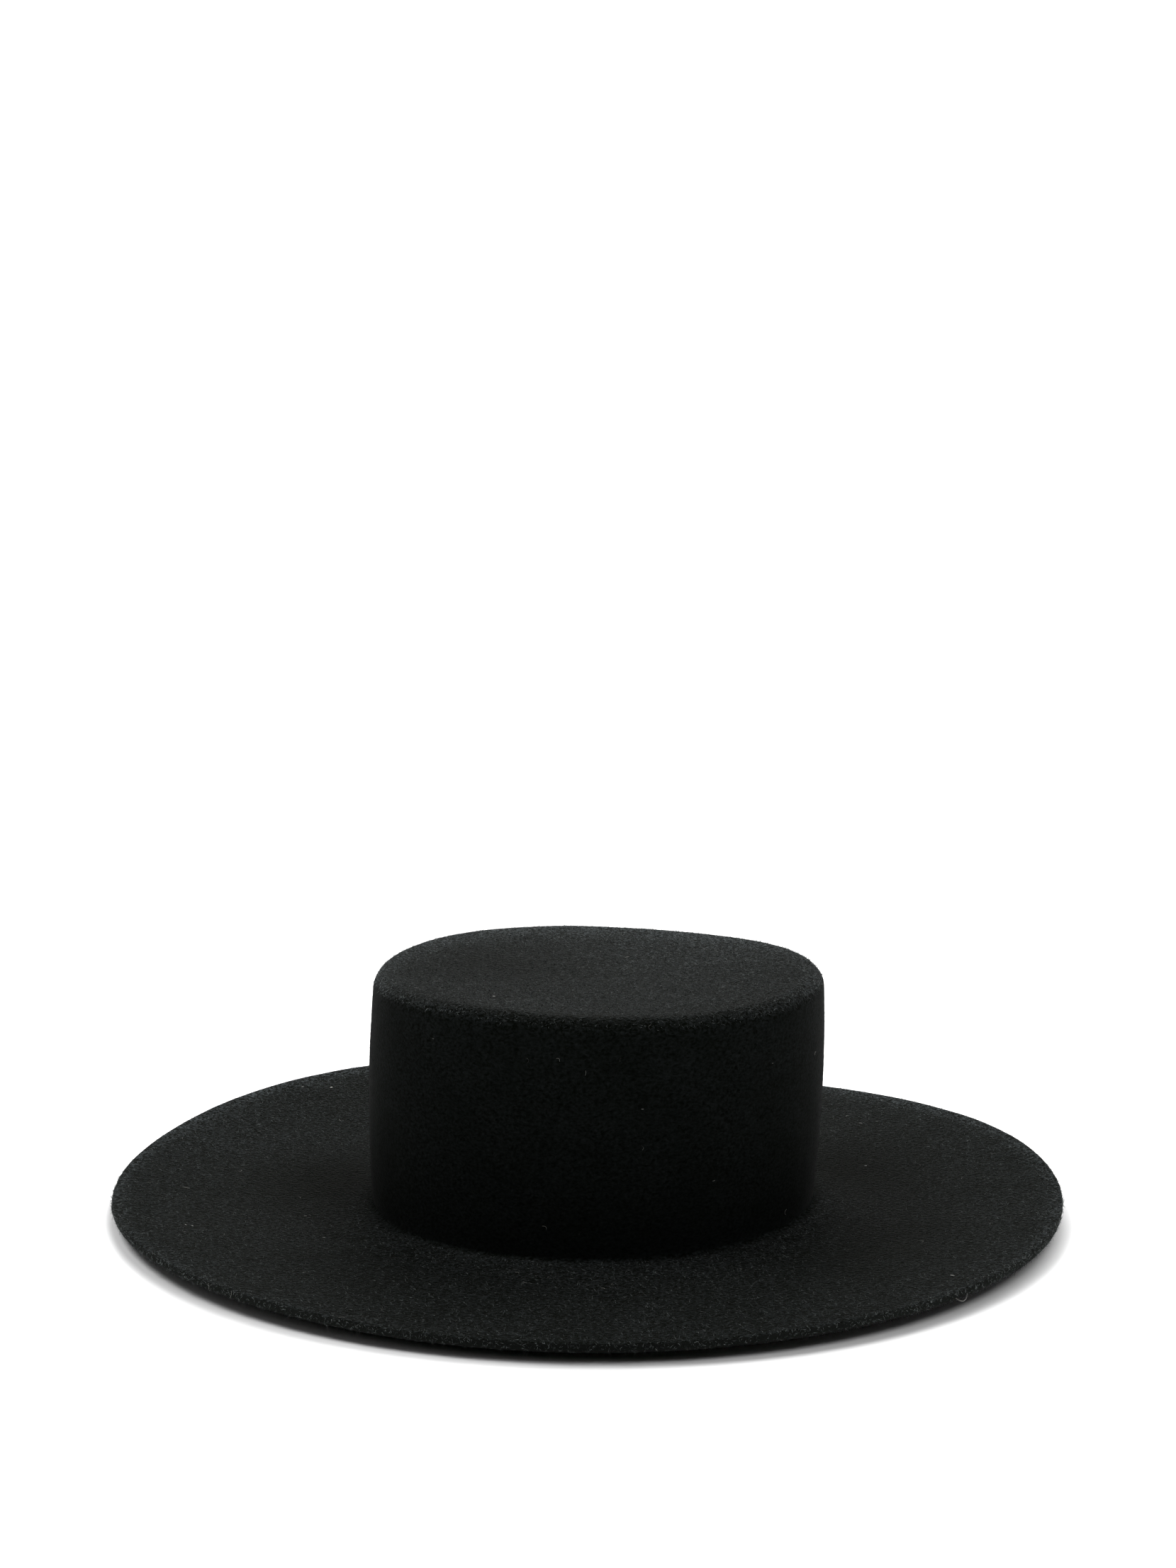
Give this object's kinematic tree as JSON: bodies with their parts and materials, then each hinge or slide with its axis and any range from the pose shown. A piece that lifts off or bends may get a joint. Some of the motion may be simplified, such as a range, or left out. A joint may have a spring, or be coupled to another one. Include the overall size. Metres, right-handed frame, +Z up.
{
  "type": "felt hat",
  "caption": "Wide-brimmed black felt hat with a flat-topped crown, blocked from one piece of wool felt with a raw cut brim edge.",
  "frame": {"origin": "middle of the brim's outline, on the plane that the hat stands on", "axes": "+Z up through the crown, +Y along the head's fore-and-aft line, +X across the head"},
  "size_m": [0.3866, 0.3998, 0.0985],
  "materials": {
    "felt": "matt black wool felt with a short matted nap"
  },
  "bodies": {
    "root": {"felt_body": "felt"}
  },
  "joints": []
}
